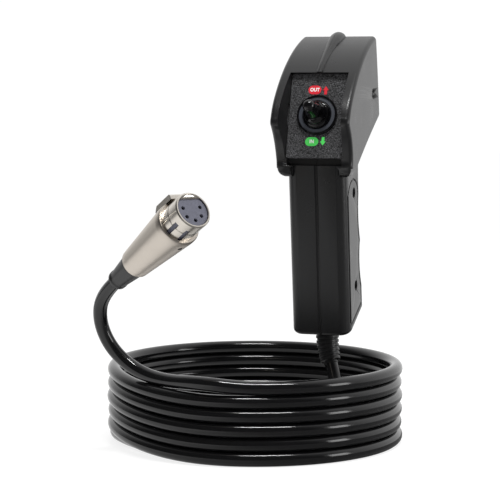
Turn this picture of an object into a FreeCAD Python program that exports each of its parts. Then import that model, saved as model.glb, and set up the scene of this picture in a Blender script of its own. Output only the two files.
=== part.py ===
import FreeCAD, Part
import math
import os

os.makedirs("parts", exist_ok=True)
V = FreeCAD.Vector

# Driving sizes in millimetres. Heights are measured from the front bottom edge of the grip.
grip_middle = 40.0          # height of the row's origin, the middle of the hand grip
wall = 2.2                  # moulded wall of both housing halves
seam_gap = 0.05             # each half stops this far from the parting plane

# Grip
grip_width = 29.0
grip_front_round = 5.4
grip_back_round = 2.6
grip_ridge_round = 4.0
grip_bottom_round = 1.6
grip_front_low = -5.4       # depth position of the front edge at the bottom
grip_front_high = -15.4     # the same where the grip enters the head
grip_entry_height = 84.5
grip_back_low = 22.0        # rear bottom corner
grip_back_low_height = 12.5
finger_ridges = [(13.2, 68.0), (16.9, 46.0), (20.3, 24.0)]
finger_grooves = [(13.0, 58.3), (15.8, 36.5)]
panel_inset = 3.4           # side panel outline, in from the grip outline
panel_groove = 1.0
panel_groove_depth = 0.6
panel_top = 76.0
panel_crown = 10.6          # radius of the panel's round top
seam_groove = 1.7
seam_groove_depth = 0.6

# Head
head_half_width = 19.2      # at the guards
head_taper = 1.2            # narrower by this on each side at the top, and a little more at the bottom
head_half_top = head_half_width - head_taper
head_half_bottom = head_half_top - 0.1
head_arcs = [
    ((29.4, 144.2), (2.8, 133.6), (-20.9, 114.6)),
    ((-20.9, 114.6), (-24.3, 110.2), (-26.8, 105.4)),
    ((-26.8, 105.4), (-27.6, 103.2), (-26.9, 100.9)),
    ((-26.9, 100.9), (-21.2, 93.0), (-18.4, 84.0)),
    ((-18.4, 84.0), (-17.4, 79.2), (-13.2, 77.0)),
    ((-13.2, 77.0), (8.0, 90.3), (34.6, 104.3)),
    ((34.6, 104.3), (35.6, 105.0), (35.6, 106.2)),
    ((35.6, 106.2), (32.9, 123.0), (31.3, 140.9)),
    ((31.3, 140.9), (31.0, 143.4), (29.4, 144.2)),
]
head_outer_round = 2.6
head_inner_round = 6.0
head_top_height = 145.0
head_low_height = 74.0
cheek_round = 4.2           # lower outer corner of each guard, seen from the front
head_widest_height = 106.0
head_round = 2.0
chin_height = 82.4          # lip over the grip front
chin_half = 13.4            # half the width of the front left open between the guards
chin_round = 2.5
chin_taper = 2.2            # the guards come nearer to each other by this at their foot
pocket_depth = 2.9          # shelf behind the lip, under the plate

# Front recess and its plate, leaning back
plate_lean = 17.0
plate_centre_depth = -12.0
plate_centre_height = 106.0
guard_wall = 5.35           # each guard at the plate's edge, plate to outside
plate_width = 2 * (head_half_width - guard_wall)
plate_below = 20.7          # from the toggle axis down to the plate's lower edge
plate_above = 20.3
plate_thick = 1.6
plate_corner = 1.0
plate_gap = 0.15            # all round the plate in its recess
guard_flare = 1.3           # each guard face opens by this over its height
guard_height = 16.0
catch_length = 11.0         # snap tabs at both plate edges
catch_height = 2.2
catch_reach = 1.0

# Keel rib on top of the head
keel_sections = [           # depth, foot height, crest height, half width
    (-12.0, 118.0, 124.2, 1.15),
    (-2.0, 125.0, 132.2, 1.5),
    (11.0, 132.0, 139.6, 2.3),
    (21.0, 136.0, 144.6, 3.1),
    (27.6, 138.0, 146.2, 3.5),
]

# Toggle switch, measured along its own axis from the plate face
ring_diameter = 19.5
ring_height = 1.8
boot_base_radius = 6.8
boot_base_top = 3.2
boot_tip_radius = 3.0       # ball at the end of the boot
boot_tip_end = 19.0
boot_bell_radius = 4.5
boot_bell_bottom = 5.9
pivot_depth = 3.0
toggle_swing = 13.0         # degrees each way
lever_radius = 1.9
bushing_radius = 6.0
bushing_bore = 3.9
bushing_top = 1.0
nut_across = 15.0
nut_thick = 1.6
washer_thick = 0.6
washer_radius = 7.2
frame_thick = 1.0
case_half_x = 7.5
case_half_y = 10.6
case_deep = 12.2
case_wall = 1.8
pin_radius = 0.8
pin_fit = 0.04
plunger_radius = 1.3
plunger_end = 11.4          # depth of the plunger's tip
spring_wire = 0.35
rocker_depth = 12.6         # depth of the rocker's axis
rocker_half_x = 4.4
rocker_half_y = 6.6
rocker_thick = 1.4
tab_thick = 0.8
tab_wide = 5.6
tab_reach = 4.6             # terminal tabs below the case
tab_pitch = 6.6

# Housing screws, along X, entered from the right side: depth and height
screw_places = [(20.8, 116.0), (1.6, 69.0), (6.7, 24.0)]
screw_head_radius = 2.45
screw_head_thick = 1.8
screw_hole_radius = 2.6
screw_radius = 1.45
screw_fit = 0.05
boss_radius = 3.4

# Cable and what holds it in the grip
cable = 6.5
core = 1.6
relief_depth = 8.0          # where the cable leaves the grip
relief_radius = 5.65
relief_neck_radius = 4.6
relief_flange_radius = 6.4
relief_flange_low = 10.6
relief_flange_thick = 2.0
relief_fit = 0.05
relief_bend_start = 1.0
relief_bend_radius = 33.0
relief_bend = 28.0          # degrees
relief_heading = -45.0      # compass of the bend, from +X
relief_ribs = 7
relief_rib_thick = 1.4
relief_groove = 0.75
clamp_height = 15.8
clamp_width = 18.0
clamp_thick = 2.0
clamp_long = 3.4
cable_end_height = 17.9      # where the jacket is stripped

# Coiled cable
turns = 6
turn_pitch = 6.45
coil_radius = 67.7          # of the cable's centreline
coil_x = -31.5
coil_y = -9.6
coil_low = -87.3            # centre of the lowest turn, below the origin

# Points the free cable passes, from the grip to the coil and from the coil to the plug
handset_route = [
    (2.7, 5.3, -54.5),
    (6.7, 1.3, -65.1),
    (11.8, -7.2, -75.0),
    (16.2, -22.6, -83.2),
    (13.3, -46.1, -87.3),
    (-4.4, -65.1, -87.3),
    (-36.1, -69.6, -87.3),
    (-69.9, -57.3, -87.3),
    (-95.4, -31.8, -87.3),
]
plug_route = [
    (-18.6, -76.1, -55.0),
    (-35.3, -78.9, -53.1),
    (-59.3, -68.1, -54.6),
    (-74.4, -64.4, -49.9),
    (-84.8, -65.4, -40.1),
    (-88.6, -69.2, -27.0),
    (-84.5, -74.8, -14.8),
    (-74.7, -82.0, -7.7),
]

# Plug, measured along its own axis from the cable entry
plug_place = (-74.7, -82.0, -7.7)
plug_heading = -36.3        # compass of the plug's axis, from +X
plug_lift = 30.3            # degrees above level
plug_roll = 180.0           # turns the latch to the upper side
boot_length = 18.0
boot_rear_radius = 4.6
boot_front_radius = 6.1
shell_length = 39.5
shell_rear_radius = 7.0
shell_front_radius = 10.1
shell_wall = 1.1
nose_length = 12.5
nose_radius = 8.45
nose_wall = 0.9
insert_setback = 0.8
socket_circle = 4.6         # radius of the ring of contacts
socket_count = 5
socket_step = 54.0          # degrees between neighbours
socket_bore = 0.9
socket_outer = 1.4
socket_depth = 11.0
socket_setback = 1.1        # contact tubes behind the insert's face
insert_flat = 5.4           # height of the flat side over the axis
cup_length = 5.0            # solder cups behind the insert
insert_tail = 9.0           # insert behind the shell's front end
core_run = 4.5              # bare cores between cable and cups
lip_depth = 4.0             # the nose's key, a segment at its front
slot_wide = 2.0             # two open slots in the nose
slot_long = 8.2
slot_angles = (210.0, 250.0)
guide_angle = 178.0         # a fine groove along the nose
guide_wide = 0.6
guide_deep = 0.3
latch_width = 6.0
latch_stand = 2.2           # the push block above the shell


# Small helpers for outlines and solids

def at(depth, height):
    """A point of the middle plane."""
    return V(0, depth, height - grip_middle)


def line(a, b):
    return Part.makeLine(at(*a), at(*b))


def arc(a, b, c):
    return Part.Arc(at(*a), at(*b), at(*c)).toShape()


def slab(wire, half_width):
    face = Part.Face(wire)
    face.translate(V(-half_width, 0, 0))
    return face.extrude(V(2 * half_width, 0, 0))


def inset(wire, distance):
    return Part.Face(wire).makeOffset2D(-distance).OuterWire


def rod(radius, length, place, direction):
    return Part.makeCylinder(radius, length, place, direction)


def turned(profile, place=V(0, 0, 0)):
    """A body of revolution about Z from (radius, z) corners."""
    points = [V(r, 0, z) for r, z in profile]
    face = Part.Face(Part.makePolygon(points + [points[0]]))
    solid = face.revolve(V(0, 0, 0), V(0, 0, 1), 360)
    solid.translate(place)
    return solid


def block(low, high):
    return Part.makeBox(high[0] - low[0], high[1] - low[1], high[2] - low[2], V(*low))


def on_plate(solid):
    """From the switch's own axes, Z out of the plate and Y up along it, to the handset's."""
    moved = solid.copy()
    moved.rotate(V(0, 0, 0), V(1, 0, 0), 90 - plate_lean)
    moved.translate(at(plate_centre_depth, plate_centre_height))
    return moved


def along_plug(solid):
    """From the plug's own axes, Z toward its nose and Y toward the latch, to where it lies."""
    moved = solid.copy()
    moved.rotate(V(0, 0, 0), V(0, 0, 1), plug_roll)
    moved.rotate(V(0, 0, 0), V(1, 0, 0), -(90 - plug_lift))
    moved.rotate(V(0, 0, 0), V(0, 0, 1), plug_heading - 90)
    moved.translate(V(*plug_place))
    return moved


def save(node, shape):
    if shape.ShapeType == "Compound" and len(shape.Solids) == 1:
        shape = shape.Solids[0]
    shape.exportStep("parts/" + node + ".step")
    print(node, "solids", len(shape.Solids), "valid", shape.isValid(), "volume", round(shape.Volume, 1))


# Outlines of the housing in the middle plane

def soften(wire, outer, inner):
    """The same outline with its outer corners and then its inner ones rounded."""
    face = Part.Face(wire).makeOffset2D(-outer)
    face = face.makeOffset2D(outer + inner)
    return face.makeOffset2D(-inner).OuterWire


def head_outline():
    rough = Part.Wire([arc(*points) for points in head_arcs])
    return soften(rough, head_outer_round, head_inner_round)


def grip_outline():
    low = (grip_front_low, 0.0)
    high = (grip_front_high, grip_entry_height)
    corner = (grip_back_low, grip_back_low_height)
    first, second, third = finger_ridges
    return Part.Wire([
        line((12.4, 93.0), (-8.0, 93.0)),
        line((-8.0, 93.0), high),
        line(high, low),
        line(low, corner),
        arc(corner, (20.9, 18.5), third),
        arc(third, finger_grooves[1], second),
        arc(second, finger_grooves[0], first),
        arc(first, (12.0, 81.0), (12.4, 93.0)),
    ])


def width_outline():
    """The head seen from the front, slightly barrel shaped."""
    def side(sign):
        return Part.Arc(
            V(sign * head_half_top, -60, head_top_height + 5 - grip_middle),
            V(sign * head_half_width, -60, head_widest_height - grip_middle),
            V(sign * head_half_bottom, -60, head_low_height - 5 - grip_middle))
    right_arc, left_arc = side(1), side(-1)
    top = Part.makeLine(left_arc.StartPoint, right_arc.StartPoint)
    bottom = Part.makeLine(right_arc.EndPoint, left_arc.EndPoint)
    return Part.Wire([top, right_arc.toShape(), bottom, left_arc.toShape()])


def head_body():
    shape = slab(head_outline(), head_half_width + 3)
    shape = shape.common(Part.Face(width_outline()).extrude(V(0, 120, 0)))
    sides = [f for f in shape.Faces if abs(f.CenterOfMass.x) > 0.9 * head_half_bottom]
    shape = shape.makeFillet(head_round, [e for f in sides for e in f.Edges])
    lip = chin_height - grip_middle
    foot = head_arcs[4][2][1] - grip_middle
    foot_half = chin_half - chin_taper
    corners = [(-chin_half, lip), (chin_half, lip), (foot_half, foot), (foot_half, foot - 20),
               (-foot_half, foot - 20), (-foot_half, foot)]
    points = [V(x, -60, z) for x, z in corners]
    under = Part.Face(Part.makePolygon(points + [points[0]])).extrude(V(0, 60 + grip_front_high + 1.6, 0))
    crown = [e for e in under.Edges if e.BoundBox.ZMin > lip - 0.1 and e.BoundBox.YLength > 20]
    return shape.cut([under.makeFillet(chin_round, crown)] + cheek_corners())


def cheek_corners():
    """What is taken off the lower outer corner of each guard."""
    corners = []
    for sign in (-1, 1):
        inner = sign * (head_half_bottom - cheek_round)
        low = head_arcs[4][2][1] - grip_middle
        x_low, x_high = sorted((inner, inner + sign * (cheek_round + 3)))
        corner = block((x_low, -60, low - 3), (x_high, 0, low + cheek_round))
        corners.append(corner.cut(rod(cheek_round, 62, V(inner, -61, low + cheek_round), V(0, 1, 0))))
    return corners


def is_ridge(box):
    return any(abs(box.YMax - y) < 0.1 and abs(box.ZMax - z + grip_middle) < 0.1 for y, z in finger_ridges)


def grip_body():
    shape = slab(grip_outline(), grip_width / 2)
    crests = [e for e in shape.Edges if e.BoundBox.XLength > 1 and is_ridge(e.BoundBox)]
    shape = shape.makeFillet(grip_ridge_round, crests)
    straight = [e for e in shape.Edges if e.BoundBox.XLength < 0.01]
    front = [e for e in straight if abs(e.BoundBox.YMin - grip_front_high) < 0.1 and e.BoundBox.ZLength > 50]
    back = [e for e in straight if e.BoundBox.YMin > 10]
    shape = shape.makeFillet(grip_front_round, front)
    shape = shape.makeFillet(grip_back_round, back)
    low_face = min(shape.Faces, key=lambda f: f.CenterOfMass.z)
    return shape.makeFillet(grip_bottom_round, low_face.OuterWire.Edges)


def keel():
    """The rib along the middle of the head's top, wider and taller toward the back."""
    def section(depth, foot, crest, half):
        low, high = foot - grip_middle, crest - grip_middle
        corners = [V(-half * 1.25, depth, low), V(half * 1.25, depth, low),
                   V(half, depth, high - 0.55 * half), V(-half, depth, high - 0.55 * half)]
        top = Part.Arc(corners[2], V(0, depth, high), corners[3]).toShape()
        return Part.Wire([Part.makeLine(corners[0], corners[1]), Part.makeLine(corners[1], corners[2]),
                          top, Part.makeLine(corners[3], corners[0])])
    shape = Part.makeLoft([section(*row) for row in keel_sections], True, False)
    return shape


def recess():
    """Room for the plate and the open front between the two guards, in plate axes."""
    low = -(plate_below + plate_gap)
    floor_half = plate_width / 2 + plate_gap
    mouth_half = floor_half + guard_flare * 30 / guard_height
    corners = [(-floor_half, 0), (floor_half, 0), (mouth_half, 30), (-mouth_half, 30)]
    points = [V(x, low, z) for x, z in corners]
    high = plate_above + plate_gap
    front = Part.Face(Part.makePolygon(points + [points[0]])).extrude(V(0, high - low, 0))
    seat = block((-floor_half, low, -plate_thick), (floor_half, high, 0.1))
    window = block((-9.4, -12.4, -plate_thick - wall - 0.2), (9.4, 12.4, 0))
    reach = floor_half + catch_reach + plate_gap
    catch = block((-reach, -catch_length / 2, -plate_thick), (reach, catch_length / 2, catch_height))
    return front.fuse([seat, window, catch])


def chin_pocket():
    """The dark gap under the plate, down to the lip over the grip."""
    lip = chin_height - grip_middle
    plate_edge = plate_centre_height - plate_below * math.cos(math.radians(plate_lean))
    top = plate_edge + 0.4 - grip_middle
    pocket = block((-chin_half, -60, lip), (chin_half, grip_front_high + pocket_depth, top))
    ends = [e for e in pocket.Edges if e.BoundBox.YLength > 20 and e.BoundBox.ZMax < lip + 0.1]
    return pocket.makeFillet(1.2, ends)


def hollow():
    """The inside of both halves together."""
    head_room = slab(inset(head_outline(), wall), head_half_top - wall)
    front = block((-40, -60, -plate_thick - wall), (40, 60, 60))
    chin = block((-60, -60, 0),
                 (60, grip_front_high + pocket_depth + wall, chin_height + 4.5 + wall - grip_middle))
    head_room = head_room.cut([on_plate(front), chin])
    half = grip_width / 2 - wall
    behind_lip = block((-60, -60, chin_height - wall - grip_middle),
                       (60, grip_front_high + pocket_depth + wall, 60))
    grip_room = slab(inset(grip_outline(), wall + 0.2), half).cut(behind_lip)
    passage = block((-half, -6.0, 86.0 - grip_middle), (half, 10.0, 96.0 - grip_middle))
    return head_room.fuse([grip_room, passage])


def side_groove():
    """Outline of the flat panel on each side of the grip."""
    def panel(distance):
        face = Part.Face(inset(grip_outline(), distance))
        low = panel_top - panel_crown - grip_middle
        below = block((-1, -60, -60), (1, 60, low))
        crown = rod(panel_crown + panel_inset - distance, 2, V(-1, 0.4, low), V(1, 0, 0))
        return face.common(below.fuse(crown))
    ring = panel(panel_inset).cut(panel(panel_inset + panel_groove))
    deep = grip_width / 2 - panel_groove_depth
    right_cut = ring.copy()
    right_cut.translate(V(deep, 0, 0))
    left_cut = ring.copy()
    left_cut.translate(V(-deep, 0, 0))
    return [right_cut.extrude(V(5, 0, 0)), left_cut.extrude(V(-5, 0, 0))]


def seam():
    """The shallow groove along the parting line of the grip."""
    outline = grip_outline()
    outer = slab(Part.Face(outline).makeOffset2D(1.0).OuterWire, seam_groove / 2)
    return outer.cut(slab(inset(outline, seam_groove_depth), seam_groove / 2 + 1))


def across(radius, start, end, place):
    """A rod along X at a given depth and height."""
    return rod(radius, end - start, at(*place) + V(start, 0, 0), V(1, 0, 0))


def clamp_posts():
    return [(relief_depth - 6.4, clamp_height), (relief_depth + 6.4, clamp_height)]


def housing():
    """Both halves as one body, before they are parted."""
    outer = head_body().fuse([grip_body(), keel()])
    room = hollow()
    shell = outer.cut(room)
    collar_top = relief_flange_low + relief_flange_thick + 1.0
    collar = rod(relief_flange_radius + wall, collar_top, at(relief_depth, 0), V(0, 0, 1)).common(room)
    bosses = [across(boss_radius, -head_half_width, head_half_width, p).common(room) for p in screw_places]
    shell = shell.fuse([collar] + bosses)
    bore = rod(relief_neck_radius + relief_fit, 60, at(relief_depth, -20), V(0, 0, 1))
    pocket = rod(relief_flange_radius + relief_fit, relief_flange_thick + 2 * relief_fit,
                 at(relief_depth, relief_flange_low - relief_fit), V(0, 0, 1))
    openings = [on_plate(recess()), chin_pocket(), seam(), bore, pocket]
    shell = shell.cut(openings + side_groove())
    return shell.removeSplitter()


def screw_ends(place):
    """Where the hole's floor lies, and where the screw's tip ends, along X."""
    outside = grip_width / 2 if place[1] < 80 else head_half_top
    return outside - 3.4, -outside + wall + 2.0


def right_housing(shell):
    half = shell.common(block((seam_gap, -80, -80), (60, 80, 140)))
    for place in screw_places:
        floor, tip = screw_ends(place)
        half = half.cut(across(screw_hole_radius, floor, 40, place))
        half = half.cut(across(screw_radius + screw_fit, -1, 40, place))
    return half


def left_housing(shell):
    half = shell.common(block((-60, -80, -80), (-seam_gap, 80, 140)))
    reach = cable / 2 + relief_fit
    inside = grip_width / 2 - wall
    posts = [across(1.9, -inside - 0.5, reach, p) for p in clamp_posts()]
    half = half.fuse(posts)
    for place in screw_places:
        floor, tip = screw_ends(place)
        half = half.cut(across(screw_radius + screw_fit, tip - screw_fit, 1, place))
    for place in clamp_posts():
        half = half.cut(across(0.95 + screw_fit, reach - 8, reach + 1, place))
    return half


def housing_screws():
    screws = []
    for place in screw_places:
        floor, tip = screw_ends(place)
        head = across(screw_head_radius, floor, floor + screw_head_thick, place)
        slot = block((floor + 0.9, -0.4, -4), (floor + 4, 0.4, 4))
        slot.translate(at(*place))
        cross = slot.copy()
        cross.rotate(at(*place), V(1, 0, 0), 90)
        screws.append(head.cut([slot, cross]).fuse(across(screw_radius, tip, floor + 0.5, place)))
    return Part.makeCompound(screws)


# The toggle switch, built along its own axis and laid on the plate

def switch_plate():
    half = plate_width / 2
    plate = block((-half, -plate_below, -plate_thick), (half, plate_above, 0))
    upright = [e for e in plate.Edges if abs(e.BoundBox.ZLength - plate_thick) < 0.01]
    plate = plate.makeFillet(plate_corner, upright)
    reach = half + catch_reach
    tabs = block((-reach, -catch_length / 2 + 0.2, -plate_thick), (reach, catch_length / 2 - 0.2, -0.2))
    return plate.fuse(tabs).removeSplitter().cut(rod(bushing_radius + 0.1, 9, V(0, 0, -5), V(0, 0, 1)))


def boot_ring():
    outer = ring_diameter / 2
    bore = bushing_radius + 0.05
    seat = boot_base_radius + 0.1
    top = ring_height
    return turned([
        (bore, 0), (outer, 0), (outer, top - 0.5), (outer - 0.5, top), (outer - 0.9, top),
        (outer - 1.1, top - 0.35), (outer - 1.4, top - 0.35), (outer - 1.6, top),
        (seat, top), (seat, 0.8), (bore, 0.8)])


def boot_base():
    sweep = math.tan(math.radians(toggle_swing))
    opening = lever_radius + (boot_base_top + pivot_depth) * sweep + 0.7
    foot = bushing_radius + 0.1
    return turned([
        (foot, 0.85), (boot_base_radius, 0.85), (boot_base_radius, ring_height),
        (boot_base_radius - 0.5, boot_base_top - 0.5), (boot_base_radius - 1.1, boot_base_top),
        (opening, boot_base_top), (opening, bushing_top + 0.6), (foot, bushing_top + 0.1)])


def boot_tip():
    ball = boot_tip_radius
    centre = boot_tip_end - ball
    neck = ball - 0.5
    neck_top = centre - math.sqrt(ball ** 2 - neck ** 2)
    inner = lever_radius + 0.02
    edges = [
        Part.makeLine(V(inner, 0, boot_bell_bottom), V(boot_bell_radius, 0, boot_bell_bottom)),
        Part.Arc(V(boot_bell_radius, 0, boot_bell_bottom), V(3.3, 0, 9.8), V(neck, 0, neck_top)).toShape(),
        Part.Arc(V(neck, 0, neck_top), V(ball, 0, centre), V(0, 0, boot_tip_end)).toShape(),
        Part.makeLine(V(0, 0, boot_tip_end), V(0, 0, 17.2)),
        Part.makeLine(V(0, 0, 17.2), V(inner, 0, 17.2)),
        Part.makeLine(V(inner, 0, 17.2), V(inner, 0, boot_bell_bottom)),
    ]
    face = Part.Face(Part.Wire(edges))
    return face.revolve(V(0, 0, 0), V(0, 0, 1), 360)


def toggle_lever():
    ball = Part.makeSphere(bushing_bore - 0.3, V(0, 0, -pivot_depth))
    stem = rod(lever_radius, 17.1 + pivot_depth, V(0, 0, -pivot_depth), V(0, 0, 1))
    tail_end = -plunger_end + 2.2
    tail = rod(2.3, -pivot_depth - tail_end, V(0, 0, tail_end), V(0, 0, 1))
    bore = rod(plunger_radius + pin_fit, 6.0, V(0, 0, tail_end - 1), V(0, 0, 1))
    cross = rod(pin_radius + pin_fit, 20, V(-10, 0, -pivot_depth), V(1, 0, 0))
    return ball.fuse([stem, tail]).removeSplitter().cut([bore, cross])


def lever_pin():
    return rod(pin_radius, 2 * bushing_radius - 0.8, V(0.4 - bushing_radius, 0, -pivot_depth), V(1, 0, 0))


def switch_bushing():
    low = -(plate_thick + nut_thick + washer_thick)
    profile = [(bushing_bore, low - frame_thick), (bushing_radius - 0.6, low - frame_thick),
               (bushing_radius - 0.6, low), (bushing_radius, low)]
    threads = 6
    pitch = (bushing_top - low - 0.6) / threads
    for k in range(threads):
        z = low + 0.3 + pitch * k
        profile += [(bushing_radius, z), (bushing_radius - 0.3, z + pitch / 2)]
    profile += [(bushing_radius, bushing_top - 0.3), (bushing_radius - 0.3, bushing_top),
                (bushing_bore, bushing_top)]
    hole = rod(pin_radius + pin_fit, 20, V(-10, 0, -pivot_depth), V(1, 0, 0))
    return turned(profile).cut(hole)


def bushing_nut():
    reach = nut_across / 2 / math.cos(math.radians(30))
    corners = [V(reach * math.cos(math.radians(60 * k)), reach * math.sin(math.radians(60 * k)), 0)
               for k in range(6)]
    nut = Part.Face(Part.makePolygon(corners + [corners[0]])).extrude(V(0, 0, nut_thick))
    nut = nut.common(Part.makeCone(reach + nut_thick, reach - 0.5, nut_thick * 1.5 + 0.01))
    nut.translate(V(0, 0, -plate_thick - nut_thick))
    return nut.cut(rod(bushing_radius + 0.05, 9, V(0, 0, -6), V(0, 0, 1)))


def lock_washer():
    low = -(plate_thick + nut_thick + washer_thick)
    ring = turned([(bushing_radius + 0.05, low), (washer_radius, low),
                   (washer_radius, low + washer_thick), (bushing_radius + 0.05, low + washer_thick)])
    teeth = []
    for k in range(12):
        notch = block((washer_radius - 0.7, -0.45, low - 1), (washer_radius + 1, 0.45, low + 2))
        notch.rotate(V(0, 0, 0), V(0, 0, 1), 30 * k + 15)
        teeth.append(notch)
    return ring.cut(teeth)


def frame_top():
    return -(plate_thick + nut_thick + washer_thick)


def case_top():
    return frame_top() - frame_thick


def switch_frame():
    out = case_half_y + 0.1 + frame_thick
    leg_end = case_top() - case_deep * 0.7
    frame = block((-case_half_x, -out, leg_end), (case_half_x, out, frame_top()))
    frame = frame.cut(block((-9, -case_half_y - 0.1, leg_end - 1), (9, case_half_y + 0.1, case_top())))
    windows = [block((-3, -out - 1, leg_end + 2), (3, out + 1, case_top() - 3))]
    frame = frame.cut(windows + [rod(bushing_radius - 0.6 + 0.02, 9, V(0, 0, case_top() - 4), V(0, 0, 1))])
    return frame


def tab_places():
    """Common terminal in the middle and one terminal for each throw."""
    return [-tab_pitch, 0.0, tab_pitch]


def switch_case():
    floor = case_top() - case_deep
    case = block((-case_half_x, -case_half_y, floor), (case_half_x, case_half_y, case_top()))
    room = block((case_wall - case_half_x, case_wall - case_half_y, floor + case_wall),
                 (case_half_x - case_wall, case_half_y - case_wall, case_top() + 1))
    axle = rod(pin_radius + 0.05, 2 * case_half_x - 1.6, V(0.8 - case_half_x, 0, -rocker_depth), V(1, 0, 0))
    slots = [block((-tab_wide / 2 - 0.05, y - tab_thick / 2 - 0.05, floor - 1),
                   (tab_wide / 2 + 0.05, y + tab_thick / 2 + 0.05, floor + 9)) for y in tab_places()]
    return case.cut([room, axle] + slots)


def plunger():
    tip = Part.makeSphere(plunger_radius, V(0, 0, plunger_radius - plunger_end))
    return tip.fuse(rod(plunger_radius, 2.6, V(0, 0, plunger_radius - plunger_end), V(0, 0, 1)))


def plunger_spring():
    low = plunger_radius - plunger_end + 2.65
    high = -plunger_end + 2.2 - 1 + 6.0 - 0.05
    radius = plunger_radius - spring_wire / 2 - 0.08
    coils = 3
    rise = high - low - spring_wire
    helix = Part.makeHelix(rise / coils, rise, radius)
    ring = Part.Wire(Part.makeCircle(spring_wire / 2, V(radius, 0, 0), V(0, 1, 0)))
    spring = Part.Wire(helix).makePipeShell([ring], True, True)
    spring.translate(V(0, 0, low + spring_wire / 2))
    return spring


def contact_rocker():
    half = rocker_thick / 2
    body = block((-rocker_half_x, -rocker_half_y, -half), (rocker_half_x, rocker_half_y, half))
    dish = rod(9.0, 20, V(-10, 0, half + 8.6), V(1, 0, 0))
    axle = rod(pin_radius, 2 * case_half_x - 2.0, V(1.0 - case_half_x, 0, 0), V(1, 0, 0))
    rocker = body.cut(dish).fuse(axle)
    rocker.translate(V(0, 0, -rocker_depth))
    return rocker


def switch_terminals():
    floor = case_top() - case_deep
    tabs = []
    for y in tab_places():
        tab = block((-tab_wide / 2, y - tab_thick / 2, floor - tab_reach),
                    (tab_wide / 2, y + tab_thick / 2, floor + case_wall))
        head = block((-tab_wide / 2, y - 1.4, floor + case_wall),
                     (tab_wide / 2, y + 1.4, floor + case_wall + 0.4))
        eye = rod(0.8, 4, V(0, y - 2, floor - tab_reach + 1.8), V(0, 1, 0))
        tabs.append(tab.fuse(head).cut(eye))
    return Part.makeCompound(tabs)


# The cable's way into the grip

def bend_centre():
    heading = math.radians(relief_heading)
    toward = V(math.cos(heading), math.sin(heading), 0)
    return at(relief_depth, relief_bend_start) + toward * relief_bend_radius, toward


def bent(face, angle):
    """Sweeps a level face, cut at the start of the bend, down round the bend."""
    centre, toward = bend_centre()
    axis = toward.cross(V(0, 0, 1))
    return face.revolve(centre, axis, angle)


def disc(radius, inner=0):
    place = at(relief_depth, relief_bend_start)
    outer = Part.Wire(Part.makeCircle(radius, place))
    if not inner:
        return Part.Face(outer)
    return Part.Face([outer, Part.Wire(Part.makeCircle(inner, place))])


def strain_relief():
    """Neck and flange in the grip, and a ribbed tail that follows the cable round its bend."""
    bore = cable / 2 + relief_fit
    start = at(relief_depth, relief_bend_start)
    top = relief_flange_low + relief_flange_thick + 1.0
    neck = rod(relief_neck_radius, top - relief_bend_start, start, V(0, 0, 1))
    flange = rod(relief_flange_radius, relief_flange_thick, at(relief_depth, relief_flange_low), V(0, 0, 1))
    collar = rod(relief_radius, 9.0, start, V(0, 0, 1)).cut(grip_body())
    collar = max(collar.Solids, key=lambda s: s.Volume)
    tail = bent(disc(relief_radius - relief_groove), relief_bend)
    step = relief_bend / relief_ribs
    rib_angle = math.degrees(relief_rib_thick / relief_bend_radius)
    centre, toward = bend_centre()
    axis = toward.cross(V(0, 0, 1))
    parts = [neck, flange, tail]
    for k in range(relief_ribs):
        radius = relief_radius - 0.12 * k
        rib = bent(disc(radius), rib_angle)
        rib.rotate(centre, axis, step * k + (step - rib_angle) / 2)
        parts.append(rib)
    solid = collar.fuse(parts)
    way = rod(bore, 30, start, V(0, 0, 1)).fuse(bent(disc(bore), relief_bend))
    return solid.cut(way)


def cable_in_grip():
    start = at(relief_depth, relief_bend_start)
    straight = rod(cable / 2, cable_end_height - relief_bend_start, start, V(0, 0, 1))
    return straight.fuse(bent(disc(cable / 2), relief_bend)).removeSplitter()


def cable_clamp():
    low = cable / 2 + relief_fit
    bar = block((low, relief_depth - clamp_width / 2, clamp_height - clamp_long / 2 - grip_middle),
                (low + clamp_thick, relief_depth + clamp_width / 2,
                 clamp_height + clamp_long / 2 - grip_middle))
    ends = [e for e in bar.Edges if abs(e.BoundBox.XLength - clamp_thick) < 0.01]
    bar = bar.makeFillet(1.2, ends)
    return bar.cut([across(1.0, 0, 20, p) for p in clamp_posts()])


def clamp_screws():
    face = cable / 2 + relief_fit + clamp_thick
    screws = []
    for place in clamp_posts():
        head = across(1.7, face, face + 1.1, place)
        slot = block((face + 0.6, -0.3, -3), (face + 3, 0.3, 3))
        slot.translate(at(*place))
        screws.append(head.cut(slot).fuse(across(0.95, face - 8, face + 0.2, place)))
    return Part.makeCompound(screws)


# Cables: straight runs joined by tangent arcs

def smooth_wire(points):
    """The wire, its length and its bend radii."""
    spots = [V(*p) for p in points]
    edges, radii = [], []
    start = spots[0]
    for before, corner, after in zip(spots, spots[1:], spots[2:]):
        one, two = corner - before, after - corner
        turn = one.getAngle(two)
        back = 0.45 * min(one.Length, two.Length)
        radius = back / math.tan(turn / 2)
        one.normalize()
        two.normalize()
        first, last = corner - one * back, corner + two * back
        inward = two - one
        inward.normalize()
        middle = corner + inward * (radius / math.cos(turn / 2) - radius)
        edges.append(Part.LineSegment(start, first).toShape())
        edges.append(Part.Arc(first, middle, last).toShape())
        radii.append(round(radius, 1))
        start = last
    edges.append(Part.LineSegment(start, spots[-1]).toShape())
    return Part.Wire(edges), radii


def tube(points, radius, name):
    wire, radii = smooth_wire(points)
    direction = V(*points[1]) - V(*points[0])
    ring = Part.Wire(Part.makeCircle(radius, V(*points[0]), direction))
    solid = wire.makePipeShell([ring], True, False)
    full = math.pi * radius ** 2 * wire.Length
    print(name, "length", round(wire.Length, 1), "bend radii", radii)
    print(name, "volume share", round(solid.Volume / full, 3))
    return solid


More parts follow.
